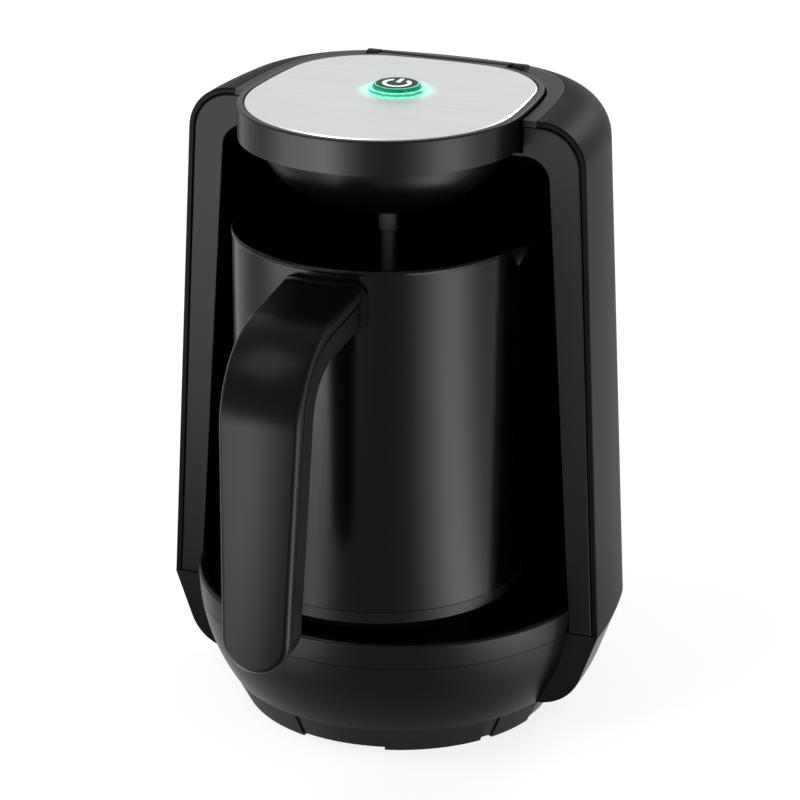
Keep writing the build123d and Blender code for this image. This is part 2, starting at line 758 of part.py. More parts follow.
head_screw_places = [
    (x, y) for x in (-head_screw_x, head_screw_x) for y in (head_screw_front_y, head_screw_rear_y)
]
board_screw_places = [(x, button_y) for x in (-board_screw_x, board_screw_x)]
board_top_z = board_z + board_thickness
head_screw_seat_z = roof_top_z - screw_head_height
with BuildPart() as head_housing:
    with BuildSketch(Plane.XY.offset(head_bottom_z)):
        add(head_outline(band_margin))
    extrude(amount=head_top_z - lid_rim_drop - head_bottom_z)
    fillet(head_housing.faces().sort_by(Axis.Z)[-1].edges(), lid_plate_gap)
    with BuildSketch(Plane.XY.offset(head_bottom_z)):
        add(head_outline(band_margin - band_wall))
    extrude(amount=roof_bottom_z - head_bottom_z, mode=Mode.SUBTRACT)
    with BuildSketch(hinge_plane):
        Circle(barrel_radius)
        with Locations((-hinge_offset, -barrel_radius / 2)):
            Rectangle(2 * hinge_offset, barrel_radius, align=(Align.MIN, Align.CENTER))
        with Locations((-hinge_offset, 0)):
            Rectangle(band_wall, 2 * barrel_radius, align=(Align.MAX, Align.CENTER))
    extrude(amount=barrel_half_length, both=True)
    with BuildSketch(Plane.XY.offset(roof_top_z)):
        add(head_outline(lid_plate_gap))
    extrude(amount=lid_plate_thickness, mode=Mode.SUBTRACT)
    across(board_screw_places, head_boss_radius, board_top_z, roof_bottom_z)
    across(board_screw_places, screw_radius, board_top_z, roof_bottom_z, Mode.SUBTRACT)
    across(head_screw_places, screw_head_radius + seam_gap, head_screw_seat_z, roof_top_z, Mode.SUBTRACT)
    across(head_screw_places, screw_radius, roof_bottom_z, roof_top_z, Mode.SUBTRACT)
    across([(0, button_y)], light_ring_radius, roof_bottom_z, roof_top_z, Mode.SUBTRACT)
    with BuildSketch(hinge_plane):
        Circle(hinge_pin_radius + pin_clearance)
    extrude(amount=barrel_half_length, both=True, mode=Mode.SUBTRACT)
save(head_housing, "head_housing")

with BuildPart() as dome_hollow:
    add(dome_form(dome_radius - dome_wall, dome_depth - dome_wall))
    across([(0, dome_y)], dome_radius - dome_wall, flange_z, flange_z + dome_flange)
    across(
        head_screw_places, head_boss_radius, flange_z - dome_depth, flange_z + dome_flange, Mode.SUBTRACT,
    )
    across([(0, probe_y)], probe_boss_radius, probe_seat_z, probe_seat_z + probe_boss_height, Mode.SUBTRACT)

with BuildPart() as head_dome:
    add(dome_form(dome_radius, dome_depth))
    across([(0, probe_y)], probe_boss_radius, probe_seat_z, probe_seat_z + probe_boss_height)
    with BuildSketch(Plane.XY.offset(flange_z)):
        add(head_outline(band_margin - band_wall - seam_gap))
    extrude(amount=dome_flange)
    add(dome_hollow.part, mode=Mode.SUBTRACT)
    across(head_screw_places, head_boss_radius, flange_z + dome_flange, roof_bottom_z - seam_gap)
    across(head_screw_places, screw_radius, flange_z, roof_bottom_z, Mode.SUBTRACT)
    across(
        [(0, probe_y)], probe_sleeve_radius + pin_clearance,
        flange_z - 2 * dome_depth, flange_z, Mode.SUBTRACT,
    )
save(head_dome, "head_dome")

with BuildPart() as lid_plate:
    with BuildSketch(Plane.XY.offset(roof_top_z)):
        add(head_outline())
    extrude(amount=lid_plate_thickness)
    chamfer(lid_plate.faces().sort_by(Axis.Z)[-1].edges(), lid_plate_edge)
    across([(0, button_y)], light_ring_radius + seam_gap, roof_top_z, head_top_z, Mode.SUBTRACT)
save(lid_plate, "lid_plate")

with BuildPart() as head_screws:
    across(head_screw_places, screw_head_radius, head_screw_seat_z, roof_top_z)
    across(head_screw_places, screw_radius, flange_z, head_screw_seat_z)
save(head_screws, "head_screws")

with BuildPart() as light_ring:
    turned([
        (button_radius + moving_gap, roof_bottom_z - light_ring_flange),
        (light_ring_radius + light_ring_flange, roof_bottom_z - light_ring_flange),
        (light_ring_radius + light_ring_flange, roof_bottom_z), (light_ring_radius, roof_bottom_z),
        (light_ring_radius, head_top_z + light_ring_height),
        (button_radius + moving_gap, head_top_z + light_ring_height),
    ], button_plane, button_axis)
    fillet(light_ring.edges().group_by(Axis.Z)[-1], light_ring_wall / 3)
save(light_ring, "light_ring")

with BuildPart() as head_board:
    with BuildSketch(Plane.XY.offset(board_z)):
        with Locations((0, button_y)):
            Rectangle(2 * board_half_length, 2 * board_half_width)
        with Locations(*board_screw_places):
            Circle(screw_radius, mode=Mode.SUBTRACT)
    extrude(amount=board_thickness)
save(head_board, "head_board")

with BuildPart() as head_board_screws:
    across(board_screw_places, screw_head_radius, board_z - screw_head_height, board_z)
    across(board_screw_places, screw_radius, board_z, roof_bottom_z - pin_clearance)
save(head_board_screws, "head_board_screws")

with BuildPart() as button_switch:
    with Locations((0, button_y, board_top_z)):
        Box(switch_size, switch_size, switch_height, align=(Align.CENTER, Align.CENTER, Align.MIN))
    across([(0, button_y)], plunger_radius, board_top_z, plunger_top_z)
save(button_switch, "button_switch")

led_spread = (
    2 * light_ring_radius * cos(radians(led_angle)), 2 * light_ring_radius * sin(radians(led_angle)),
)
with BuildPart() as status_leds:
    with Locations((0, button_y, board_top_z)):
        with GridLocations(*led_spread, 2, 2):
            Box(led_size, led_size, led_height, align=(Align.CENTER, Align.CENTER, Align.MIN))
save(status_leds, "status_leds")

with BuildPart() as power_button:
    button_top_z = head_top_z + button_height
    across([(0, button_y)], button_radius, button_low_z, button_top_z)
    fillet(power_button.edges().group_by(Axis.Z)[-1], button_edge_radius)
    across(
        [(0, button_y)], button_radius - button_skirt,
        button_low_z, button_top_z - button_roof, Mode.SUBTRACT,
    )
    across(
        [(0, button_y)], plunger_radius + contact_width,
        plunger_top_z + button_travel + pin_clearance, button_top_z - button_roof,
    )
save(power_button, "power_button")

with BuildPart() as button_spring:
    turned([
        (button_radius - button_skirt + seam_gap, board_top_z), (button_radius - seam_gap, board_top_z),
        (button_radius - seam_gap, button_low_z), (button_radius - button_skirt + seam_gap, button_low_z),
    ], button_plane, button_axis)
save(button_spring, "button_spring")

# ---------------------------------------------------------------- foam probe
nut_low_z = probe_seat_z + probe_boss_height
sleeve_top_z = nut_low_z + probe_nut_height + probe_tail
with BuildPart() as probe_sleeve:
    across([(0, probe_y)], probe_sleeve_radius, probe_sleeve_z, sleeve_top_z)
    chamfer(probe_sleeve.edges().group_by(Axis.Z)[0], lid_plate_edge)
    across([(0, probe_y)], probe_flange_radius, probe_seat_z - probe_flange, probe_seat_z)
    across([(0, probe_y)], probe_radius, probe_sleeve_z, sleeve_top_z, Mode.SUBTRACT)
save(probe_sleeve, "probe_sleeve")

with BuildPart() as probe_rod:
    across([(0, probe_y)], probe_radius, probe_tip_z, sleeve_top_z + probe_tail)
    fillet(probe_rod.edges().group_by(Axis.Z)[0], probe_radius / 2)
save(probe_rod, "probe_rod")

with BuildPart() as probe_nut:
    with BuildSketch(Plane.XY.offset(nut_low_z)):
        with Locations((0, probe_y)):
            RegularPolygon(probe_nut_width / 2, 6, major_radius=False)
            Circle(probe_sleeve_radius, mode=Mode.SUBTRACT)
    extrude(amount=probe_nut_height)
save(probe_nut, "probe_nut")

# ---------------------------------------------------------------- pot
def spout_form(inset=0.0):
    """Wedge of the pouring lip, widest at the rim, or the same wedge set in by the wall."""
    with BuildPart() as wedge:
        for height, reach, half_width in (
            (pot_rim_z, spout_reach, spout_half_width),
            (pot_rim_z - spout_height, -spout_tip_radius / 2, spout_tip_radius),
        ):
            tip = pot_radius + reach - inset
            with BuildSketch(Plane.XY.offset(height)) as section:
                with Locations((0, pot_y)):
                    Polygon(
                        (tip - spout_depth, -half_width + inset / 2), (tip, 0),
                        (tip - spout_depth, half_width - inset / 2), align=None,
                    )
        loft(ruled=True)
        fillet(wedge.edges().sort_by(Axis.X)[-1], spout_tip_radius - inset)
    return wedge.part


with BuildPart() as pot_hollow:
    across([(0, pot_y)], pot_radius - pot_wall, pot_floor_z + pot_floor, pot_rim_z)
    fillet(pot_hollow.edges().group_by(Axis.Z)[0], pot_floor_radius)
    add(spout_form(pot_wall))

with BuildPart() as pot_vessel:
    across([(0, pot_y)], pot_radius, pot_seam_z, pot_rim_z - rim_bead_radius)
    with BuildSketch(pot_plane) as bead:
        with Locations((pot_radius - pot_wall / 2, pot_rim_z - rim_bead_radius)):
            Circle(rim_bead_radius)
    revolve(bead.sketch, axis=pot_axis)
    add(spout_form())
    add(pot_hollow.part, mode=Mode.SUBTRACT)
    across([(0, pot_y)], pot_radius - pot_wall, pot_seam_z, pot_floor_z, Mode.SUBTRACT)
save(pot_vessel, "pot_vessel")

pot_screw_turns = [2 * pi * index / pot_screw_count for index in range(pot_screw_count)]
pot_screw_places = [
    (pot_screw_spread * sin(turn), pot_y + pot_screw_spread * cos(turn)) for turn in pot_screw_turns
]
heater_low_z = pot_floor_z - heater_thickness
cover_top_z = pot_bottom_z + cover_floor
pot_screw_seat_z = pot_bottom_z + screw_head_height
cover_lip_radius = pot_radius - pot_wall - seam_gap
with BuildPart() as pot_base_cover:
    turned([
        (socket_radius + seam_gap, pot_bottom_z), (pot_radius - ring_edge_radius, pot_bottom_z),
        (pot_radius, pot_bottom_z + ring_edge_radius), (pot_radius, pot_seam_z - seam_gap),
        (cover_lip_radius, pot_seam_z - seam_gap), (cover_lip_radius, pot_seam_z + cover_overlap),
        (cover_lip_radius - cover_lip, pot_seam_z + cover_overlap),
        (cover_lip_radius - cover_lip, cover_top_z), (socket_radius + seam_gap, cover_top_z),
    ], pot_plane, pot_axis)
    across(pot_screw_places, post_radius, cover_top_z, heater_low_z)
    across(
        pot_screw_places, screw_head_radius, pot_bottom_z, pot_screw_seat_z, Mode.SUBTRACT,
    )
    across(pot_screw_places, screw_radius, pot_bottom_z, heater_low_z, Mode.SUBTRACT)
save(pot_base_cover, "pot_base_cover")

with BuildPart() as pot_base_screws:
    across(pot_screw_places, screw_head_radius, pot_bottom_z + pin_clearance, pot_screw_seat_z)
    across(pot_screw_places, screw_radius, pot_screw_seat_z, pot_floor_z - contact_width)
save(pot_base_screws, "pot_base_screws")

# the recess follows the spigot's cone at the moving gap
recess_tip_z = spigot_tip_z + moving_gap + seam_gap / 2
recess_rise = recess_tip_z - pot_bottom_z
recess_radius = spigot_radius + 2 * moving_gap
recess_tip_radius = recess_radius - recess_rise * (spigot_radius - spigot_tip_radius) / spigot_height


def recess_z(radius):
    """Height of the recess's sloping face at a radius."""
    return recess_tip_z - recess_rise * (radius - recess_tip_radius) / (recess_radius - recess_tip_radius)


module_top_z = pot_bottom_z + module_height
module_neck_radius = recess_radius + moving_gap
with BuildPart() as pot_connector:
    turned([
        (recess_radius, pot_bottom_z), (socket_radius, pot_bottom_z), (socket_radius, cover_top_z),
        (socket_radius + cover_floor, cover_top_z),
        (socket_radius + cover_floor, cover_top_z + cover_floor),
        (module_neck_radius, cover_top_z + cover_floor), (module_neck_radius, module_top_z),
        (0, module_top_z), (0, recess_tip_z), (recess_tip_radius, recess_tip_z),
    ], pot_plane, pot_axis)
    for radius in contact_radii:
        turned([
            (radius, pot_bottom_z), (radius + contact_width, pot_bottom_z),
            (radius + contact_width, module_top_z - cover_floor), (radius, module_top_z - cover_floor),
        ], pot_plane, pot_axis, Mode.SUBTRACT)
save(pot_connector, "pot_connector")

with BuildPart() as pot_contacts:
    for radius in contact_radii:
        turned([
            (radius, recess_z(radius)), (radius + contact_width, recess_z(radius + contact_width)),
            (radius + contact_width, module_top_z - cover_floor), (radius, module_top_z - cover_floor),
        ], pot_plane, pot_axis)
save(pot_contacts, "pot_contacts")

with BuildPart() as heating_plate:
    across([(0, pot_y)], pot_radius - pot_wall - ring_edge_radius, heater_low_z, pot_floor_z)
    across(pot_screw_places, screw_radius, heater_low_z, pot_floor_z - contact_width, Mode.SUBTRACT)
save(heating_plate, "heating_plate")

with BuildPart() as heating_element:
    with BuildSketch(pot_plane) as tube:
        with Locations((element_radius, heater_low_z - element_tube_radius)):
            Circle(element_tube_radius)
    revolve(tube.sketch, axis=pot_axis, revolution_arc=element_arc)
save(heating_element, "heating_element")

with BuildPart() as thermal_cutout:
    across([(0, pot_y)], cutout_radius, module_top_z + seam_gap, heater_low_z)
    fillet(thermal_cutout.edges().group_by(Axis.Z)[0], contact_width)
save(thermal_cutout, "thermal_cutout")

# ---------------------------------------------------------------- handle
top_slope = radians(handle_top_slope)
lean = radians(handle_lean)


def handle_path(depth):
    """Three corner points of the handle's side view, set in from the outer skin by a depth."""
    top_normal = (sin(top_slope), -cos(top_slope))
    grip_normal = (cos(lean), -sin(lean))
    bend_y = pot_front_y - handle_reach
    bend_z = handle_top_z - handle_reach * tan(top_slope)
    drop = bend_z - handle_bottom_z + handle_thickness
    spread = 1 + top_normal[0] * grip_normal[0] + top_normal[1] * grip_normal[1]
    return [
        (pot_front_y + handle_thickness + depth * top_normal[0],
         handle_top_z + handle_thickness * tan(top_slope) + depth * top_normal[1]),
        (bend_y + depth * (top_normal[0] + grip_normal[0]) / spread,
         bend_z + depth * (top_normal[1] + grip_normal[1]) / spread),
        (bend_y - drop * tan(lean) + depth * grip_normal[0], bend_z - drop + depth * grip_normal[1]),
    ]


def handle_front(inset):
    """Front view of the handle: tapering downwards to a rounded end."""
    low = handle_half_width_low - inset
    top = handle_half_width_top - inset
    low_z = handle_bottom_z + handle_half_width_low
    taper_top_z = handle_top_z - handle_bend_radius
    with BuildSketch() as view:
        with BuildLine():
            Polyline((low, low_z), (top, taper_top_z), (top, 2 * handle_top_z), (-top, 2 * handle_top_z),
                     (-top, taper_top_z), (-low, low_z))
            ThreePointArc((-low, low_z), (0, low_z - low), (low, low_z))
        make_face()
    return view.sketch


def handle_form(outer_depth, inner_depth, inset):
    """Part of the handle between two depths below the outer skin."""
    with BuildPart() as form:
        with BuildSketch(Plane.YZ) as side_view:
            with BuildLine():
                outer = FilletPolyline(*handle_path(outer_depth), radius=handle_bend_radius - outer_depth)
                inner = FilletPolyline(*handle_path(inner_depth), radius=handle_bend_radius - inner_depth)
                Line(outer @ 0, inner @ 0)
                Line(outer @ 1, inner @ 1)
            make_face()
        extrude(side_view.sketch, amount=handle_half_width_top, both=True)
        with BuildSketch(Plane.XZ.offset(-pot_front_y)) as front_view:
            add(handle_front(inset))
        extrude(front_view.sketch, amount=2 * handle_reach, both=True, mode=Mode.INTERSECT)
        with Locations((0, pot_y, handle_top_z)):
            Cylinder(collar_radius + seam_gap / 2, 4 * handle_thickness, mode=Mode.SUBTRACT)
    return form.part


handle_screw_places = [
    (x, pot_front_y - handle_screw_y) for x in (-handle_screw_offset, handle_screw_offset)
]
skin_z = handle_top_z - handle_screw_y * tan(top_slope)      # outer skin above the screws
handle_screw_top_z = skin_z - handle_cover_thickness / 2
handle_screw_seat_z = skin_z - handle_thickness + cover_floor + contact_width
with BuildPart() as handle_cover:
    add(handle_form(0, handle_cover_thickness, 0))
    # the rounding runs on from the grip's long edges round the bend and the lower end
    fillet(handle_cover.faces().sort_by(Axis.Y)[0].edges().sort_by(Axis.Z)[:-1], handle_edge_radius)
    across(handle_screw_places, screw_radius, pot_bottom_z, handle_screw_top_z, Mode.SUBTRACT)
save(handle_cover, "handle_cover")

with BuildPart() as handle_inner:
    add(handle_form(handle_cover_thickness + seam_gap, handle_thickness, handle_inset))
    across(handle_screw_places, screw_radius, pot_bottom_z, handle_screw_top_z, Mode.SUBTRACT)
    across(
        handle_screw_places, screw_head_radius,
        pot_rim_z - handle_reach, handle_screw_seat_z, Mode.SUBTRACT,
    )
save(handle_inner, "handle_inner")

with BuildPart() as handle_screws:
    across(
        handle_screw_places, screw_head_radius,
        handle_screw_seat_z - screw_head_height, handle_screw_seat_z,
    )
    across(handle_screw_places, screw_radius, handle_screw_seat_z, handle_screw_top_z)
save(handle_screws, "handle_screws")

with BuildPart() as handle_collar:
    with BuildSketch(Plane.XZ.offset(-pot_y)):
        with Locations((0, handle_top_z + (collar_side - handle_thickness - collar_drop) / 2)):
            RectangleRounded(
                2 * (handle_half_width_top + collar_side),
                handle_thickness + collar_side + collar_drop, collar_corner,
            )
    extrude(amount=2 * pot_radius)
    with Locations((0, pot_y, handle_top_z)):
        Cylinder(collar_radius, far, mode=Mode.INTERSECT)
        Cylinder(pot_radius + seam_gap / 2, far, mode=Mode.SUBTRACT)
save(handle_collar, "handle_collar")
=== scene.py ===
"""Electric Turkish coffee maker: finishes, power symbol, floor, lights and camera.

Everything is in metres. +Z is up, the pot's handle faces -Y and the origin is on the table.
"""

from math import atan2, cos, degrees, radians, sin

import bmesh
import bpy
from mathutils import Matrix, Vector


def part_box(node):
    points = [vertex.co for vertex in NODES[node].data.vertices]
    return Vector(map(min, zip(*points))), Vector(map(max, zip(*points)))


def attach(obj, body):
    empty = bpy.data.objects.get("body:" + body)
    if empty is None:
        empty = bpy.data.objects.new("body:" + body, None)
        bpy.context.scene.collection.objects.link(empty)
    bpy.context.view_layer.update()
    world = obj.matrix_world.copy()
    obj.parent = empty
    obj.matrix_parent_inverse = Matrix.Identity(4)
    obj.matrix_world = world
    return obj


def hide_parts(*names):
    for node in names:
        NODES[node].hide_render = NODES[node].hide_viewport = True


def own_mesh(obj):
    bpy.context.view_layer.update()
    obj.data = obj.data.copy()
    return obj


bl_info = {
    "name": "Turkish coffee maker",
    "version": (1, 0, 0),
    "blender": (4, 5, 0),
    "location": "View3D > Sidebar > Coffee Maker",
    "description": "Adds the finishes, power symbol and stage of an electric Turkish coffee maker",
    "category": "Add Mesh",
}

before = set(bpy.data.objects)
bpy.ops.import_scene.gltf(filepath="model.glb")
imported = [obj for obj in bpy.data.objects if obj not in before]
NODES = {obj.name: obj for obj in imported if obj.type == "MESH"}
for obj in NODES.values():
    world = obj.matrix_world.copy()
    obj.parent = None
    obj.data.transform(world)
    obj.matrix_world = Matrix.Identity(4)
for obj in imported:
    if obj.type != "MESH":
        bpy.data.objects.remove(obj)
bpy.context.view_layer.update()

# ---------------------------------------------------------------- places taken from the frame
_, HIGH_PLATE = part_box("lid_plate")
_, HIGH_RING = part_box("light_ring")
LOW_BUTTON, HIGH_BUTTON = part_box("power_button")
BUTTON_CENTRE = (LOW_BUTTON + HIGH_BUTTON) / 2
BUTTON_RADIUS = (HIGH_BUTTON.x - LOW_BUTTON.x) / 2

# ---------------------------------------------------------------- sizes set here
# where the cap's lit rim starts, and how wide it is
CAP_RIM_START = 0.0067
CAP_RIM_WIDTH = 0.001
# where the painted light on the plate starts, and how far it reaches
PLATE_GLOW_START = BUTTON_RADIUS + 0.0016
PLATE_GLOW_REACH = 0.0056
# how much higher the middle of the handle's outer face is shaded than its sides
HANDLE_CROWN = 0.0016
PRINT_THICKNESS = 0.00004

# scale and depth of the grain on moulded pieces
FINE_GRAIN = 1500
COARSE_GRAIN = 900
SHALLOW = 1e-5
DEEP = 2e-5


# ---------------------------------------------------------------- shader nodes
def feed(links, entry, value):
    """Give an input a plain value, or link a socket to it."""
    if isinstance(value, bpy.types.NodeSocket):
        links.new(value, entry)
    else:
        entry.default_value = value


def calculate(nodes, links, operation, *values, clamp=False):
    """A Math node fed with numbers or sockets; returns its output."""
    made = nodes.new("ShaderNodeMath")
    made.operation = operation
    made.use_clamp = clamp
    for entry, value in zip(made.inputs, values):
        feed(links, entry, value)
    return made.outputs[0]


def calculate_vector(nodes, links, operation, *values):
    """A Vector Math node fed with vectors or sockets; returns the node."""
    made = nodes.new("ShaderNodeVectorMath")
    made.operation = operation
    for entry, value in zip(made.inputs, values):
        feed(links, entry, value)
    return made


def laid_flat(nodes, links, vector):
    """A vector without its height."""
    return calculate_vector(nodes, links, "MULTIPLY", vector, (1.0, 1.0, 0.0)).outputs["Vector"]


def object_place(nodes):
    """Where a point lies on the object."""
    return nodes.new("ShaderNodeTexCoord").outputs["Object"]


def noise(nodes, links, vector, scale, detail):
    """A Noise Texture read at a place; returns its value."""
    made = nodes.new("ShaderNodeTexNoise")
    feed(links, made.inputs["Scale"], scale)
    made.inputs["Detail"].default_value = detail
    links.new(vector, made.inputs["Vector"])
    return made.outputs["Fac"]


def mixed_colour(nodes, links, share, first, second):
    """A mix of two colours by a socket's share; returns the colour."""
    made = nodes.new("ShaderNodeMix")
    made.data_type = "RGBA"
    made.inputs["A"].default_value = (*first, 1.0)
    made.inputs["B"].default_value = (*second, 1.0)
    links.new(share, made.inputs["Factor"])
    return made.outputs["Result"]


def light_ramp(nodes, links, share, *steps):
    """A colour ramp through the given places and colours; returns the colour."""
    made = nodes.new("ShaderNodeValToRGB")
    colours = made.color_ramp.elements
    for place, (position, colour) in zip(colours, (steps[0], steps[-1])):
        place.position = position
        place.color = (*colour, 1.0)
    for position, colour in steps[1:-1]:
        colours.new(position).color = (*colour, 1.0)
    links.new(share, made.inputs["Fac"])
    return made.outputs["Color"]


# ---------------------------------------------------------------- shader groups
def socket(group, name, in_out, default=None):
    """Add a named number to a node group's inputs or outputs."""
    made = group.interface.new_socket(name=name, in_out=in_out, socket_type="NodeSocketFloat")
    if default is not None:
        made.default_value = default


def moulded_grain_group():
    """Fine even texture of moulded plastic: a height for a bump and a varying roughness."""
    group = bpy.data.node_groups.new("moulded grain", "ShaderNodeTree")
    socket(group, "Scale", "INPUT", 900.0)
    socket(group, "Roughness", "INPUT", 0.4)
    socket(group, "Variation", "INPUT", 0.06)
    socket(group, "Height", "OUTPUT")
    socket(group, "Roughness", "OUTPUT")
    nodes, links = group.nodes, group.links
    entry = nodes.new("NodeGroupInput")
    leave = nodes.new("NodeGroupOutput")
    place = object_place(nodes)
    grain = noise(nodes, links, place, entry.outputs["Scale"], 2.0)
    cloud = noise(nodes, links, place, 28.0, 3.0)
    centred = calculate(nodes, links, "SUBTRACT", cloud, 0.5)
    spread = calculate(
        nodes, links, "MULTIPLY_ADD", centred, entry.outputs["Variation"], entry.outputs["Roughness"]
    )
    links.new(grain, leave.inputs["Height"])
    links.new(spread, leave.inputs["Roughness"])
    return group


def button_light_group():
    """Light round the button: it is full at a radius and fades over its reach outwards."""
    group = bpy.data.node_groups.new("button light", "ShaderNodeTree")
    socket(group, "Start", "INPUT", 0.009)
    socket(group, "Reach", "INPUT", 0.004)
    socket(group, "Sparkle", "INPUT", 0.4)
    socket(group, "Nearness", "OUTPUT")
    socket(group, "Glow", "OUTPUT")
    nodes, links = group.nodes, group.links
    entry = nodes.new("NodeGroupInput")
    leave = nodes.new("NodeGroupOutput")
    from_centre = calculate_vector(
        nodes, links, "SUBTRACT", object_place(nodes), BUTTON_CENTRE
    ).outputs["Vector"]
    flat = laid_flat(nodes, links, from_centre)
    distance = calculate_vector(nodes, links, "LENGTH", flat).outputs["Value"]
    beyond = calculate(nodes, links, "SUBTRACT", distance, entry.outputs["Start"])
    share = calculate(nodes, links, "DIVIDE", beyond, entry.outputs["Reach"])
    near = calculate(nodes, links, "SUBTRACT", 1.0, share, clamp=True)
    soft = calculate(nodes, links, "POWER", near, 2.0)
    facets = noise(nodes, links, from_centre, 420.0, 1.0)
    swing = calculate(nodes, links, "MULTIPLY_ADD", facets, 2.0, -1.0)
    sparkle = calculate(nodes, links, "MULTIPLY_ADD", swing, entry.outputs["Sparkle"], 1.0)
    glow = calculate(nodes, links, "MULTIPLY", soft, sparkle, clamp=True)
    links.new(near, leave.inputs["Nearness"])
    links.new(glow, leave.inputs["Glow"])
    return group


def placed_group(made, name, build, **values):
    """Put a shader group in a material with its own values; returns the group's node."""
    node = made.node_tree.nodes.new("ShaderNodeGroup")
    node.node_tree = bpy.data.node_groups.get(name) or build()
    for key, value in values.items():
        node.inputs[key].default_value = value
    return node


# ---------------------------------------------------------------- materials
def principled(name, colour, roughness, metallic=0.0, specular=0.5):
    """A material with plain values on its shader; returns the material and its shader."""
    made = bpy.data.materials.new(name)
    made.use_nodes = True
    shader = made.node_tree.nodes["Principled BSDF"]
    shader.inputs["Base Color"].default_value = (*colour, 1.0)
    shader.inputs["Roughness"].default_value = roughness
    shader.inputs["Metallic"].default_value = metallic
    shader.inputs["Specular IOR Level"].default_value = specular
    return made, shader


def grained(name, colour, roughness, specular, scale, depth):
    """Moulded plastic or rubber with a fine grain."""
    made, shader = principled(name, colour, roughness, specular=specular)
    nodes, links = made.node_tree.nodes, made.node_tree.links
    grain = placed_group(
        made, "moulded grain", moulded_grain_group, Scale=scale, Roughness=roughness, Variation=0.05
    )
    bump = nodes.new("ShaderNodeBump")
    bump.inputs["Strength"].default_value = 0.25
    bump.inputs["Distance"].default_value = depth
    links.new(grain.outputs["Height"], bump.inputs["Height"])
    links.new(grain.outputs["Roughness"], shader.inputs["Roughness"])
    links.new(bump.outputs["Normal"], shader.inputs["Normal"])
    return made


def light_up(links, shader, colour):
    """Let a shader glow in the colour of a socket."""
    links.new(colour, shader.inputs["Emission Color"])
    shader.inputs["Emission Strength"].default_value = 1.0


def every_node(nodes, made):
    """Give CAD nodes one material."""
    for node in nodes:
        mesh = NODES[node].data
        mesh.materials.clear()
        mesh.materials.append(made)


# ---------------------------------------------------------------- settings
class CoffeeMakerFinish(bpy.types.PropertyGroup):
    """Colours and gloss of the maker, and the size of its power symbol."""

    plastic_colour: bpy.props.FloatVectorProperty(
        name="Plastic colour", description="Black plastic of the stand and the head", subtype="COLOR",
        size=3, min=0.0, max=1.0, default=(0.0016, 0.0016, 0.0018),
    )
    plastic_gloss: bpy.props.FloatProperty(
        name="Plastic gloss", description="How strongly the black plastic mirrors",
        min=0.0, max=1.0, default=0.09,
    )
    pot_colour: bpy.props.FloatVectorProperty(
        name="Pot colour", description="Gloss enamel of the pot", subtype="COLOR",
        size=3, min=0.0, max=1.0, default=(0.0008, 0.0008, 0.0009),
    )
    plate_colour: bpy.props.FloatVectorProperty(
        name="Lid plate colour", description="Satin metal plate on the head", subtype="COLOR",
        size=3, min=0.0, max=1.0, default=(0.66, 0.665, 0.67),
    )
    painted_light_colour: bpy.props.FloatVectorProperty(
        name="Light colour", description="Light that the button casts on the plate", subtype="COLOR",
        size=3, min=0.0, max=1.0, default=(0.05, 0.75, 0.47),
    )
    symbol_radius: bpy.props.FloatProperty(
        name="Symbol radius", description="Outer radius of the power symbol", unit="LENGTH",
        min=0.001, max=0.007, default=0.0048,
    )
    symbol_stroke: bpy.props.FloatProperty(
        name="Symbol stroke", description="Width of the power symbol's lines", unit="LENGTH",
        min=0.0003, max=0.002, default=0.0014,
    )


class CoffeeMakerStage(bpy.types.PropertyGroup):
    """Floor and surrounding light."""

    floor_size: bpy.props.FloatProperty(
        name="Floor size", description="Side of the square floor", unit="LENGTH", min=1.0, default=8.0,
    )
    world_strength: bpy.props.FloatProperty(
        name="Surrounding light", description="Strength of the even light all round",
        min=0.0, default=0.55,
    )


# ---------------------------------------------------------------- finishes
class COFFEE_OT_stand_finish(bpy.types.Operator):
    """Give the stand's shell, front frame, deck, base and feet their finish"""

    bl_idname = "coffee.stand_finish"
    bl_label = "Stand Finish"

    def execute(self, context):
        """Build the stand's materials and assign them."""
        finish = context.scene.coffee_finish
        plastic, gloss = finish.plastic_colour, finish.plastic_gloss
        shell, _ = principled("gloss black shell", plastic, 0.46, specular=gloss * 0.4)
        every_node(["outer_shell"], shell)
        for name, roughness, depth, nodes in (
            ("satin black frame", 0.4, DEEP, ("front_frame",)),
            ("satin black deck", 0.36, DEEP, ("top_deck",)),
            ("satin black base", 0.32, SHALLOW, ("base_housing", "base_ring", "bottom_plate")),
            ("gloss black tray", 0.2, SHALLOW, ("pot_tray",)),
        ):
            every_node(nodes, grained(name, plastic, roughness, gloss, FINE_GRAIN, depth))
        for name, colour, roughness, specular, node in (
            ("grey rubber", (0.006, 0.006, 0.0063), 0.55, 0.12, "rubber_feet"),
            ("black rubber", (0.004, 0.004, 0.004), 0.6, 0.3, "cord_inlet"),
        ):
            every_node([node], grained(name, colour, roughness, specular, COARSE_GRAIN, DEEP))
        return {"FINISHED"}


